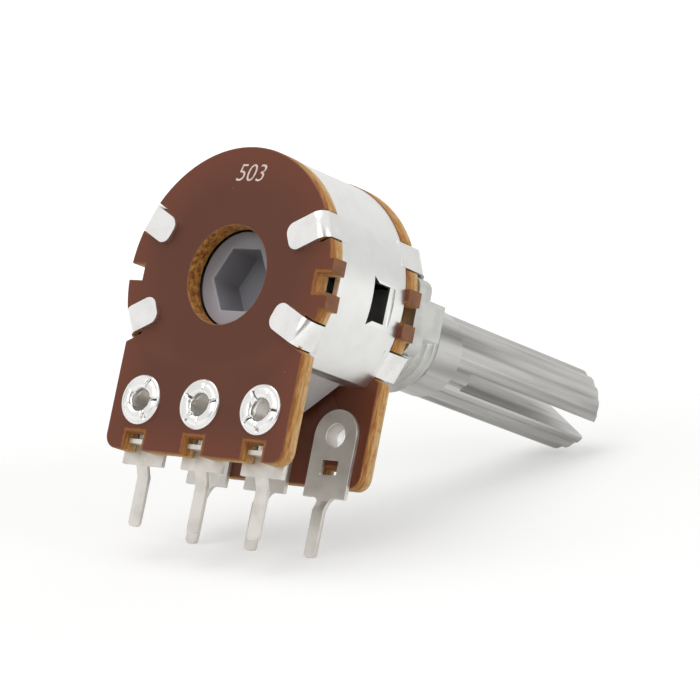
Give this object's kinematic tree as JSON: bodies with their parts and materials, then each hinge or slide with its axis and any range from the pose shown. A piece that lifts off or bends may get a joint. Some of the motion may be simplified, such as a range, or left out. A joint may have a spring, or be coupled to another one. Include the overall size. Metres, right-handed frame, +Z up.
{
  "type": "rotary potentiometer",
  "caption": "Dual-gang rotary potentiometer with a threaded bushing, a knurled split shaft and two rows of printed-circuit pins.",
  "frame": {"origin": "on the shaft axis, at the plate's front face, which goes against a panel", "axes": "+Y along the shaft towards its tip, +Z up with the pins pointing down, +X towards the locating lug"},
  "size_m": [0.0167, 0.0379, 0.0243],
  "materials": {
    "die_cast_zinc": "satin as cast",
    "phenolic_board": "painted, edges bare",
    "tinned_steel": "satin",
    "tinned_terminal": "satin tin plate",
    "carbon_ink": "matt",
    "silver_ink": "satin",
    "turned_aluminium": "satin",
    "spring_steel": "satin",
    "moulded_rotor_plastic": "semi-gloss",
    "spring_bronze": "satin"
  },
  "bodies": {
    "housing": {"mounting_plate": "die_cast_zinc", "front_wafer": "phenolic_board", "rear_wafer": "phenolic_board", "can": "tinned_steel", "front_resistive_track": "carbon_ink", "rear_resistive_track": "carbon_ink", "front_collector_ring": "silver_ink", "rear_collector_ring": "silver_ink", "front_end_pads": "silver_ink", "rear_end_pads": "silver_ink", "front_terminal_1": "tinned_terminal", "front_terminal_2": "tinned_terminal", "front_terminal_3": "tinned_terminal", "rear_terminal_1": "tinned_terminal", "rear_terminal_2": "tinned_terminal", "rear_terminal_3": "tinned_terminal"},
    "shaft_assembly": {"shaft": "turned_aluminium", "retaining_ring": "spring_steel", "rotor": "moulded_rotor_plastic", "front_wiper": "spring_bronze", "rear_wiper": "spring_bronze"}
  },
  "joints": [
    {"name": "shaft_turn", "type": "hinge", "parent": "housing", "child": "shaft_assembly", "pos_m": [0, 0, 0], "axis": [0, 1, 0], "range_deg": [0, 300]}
  ]
}
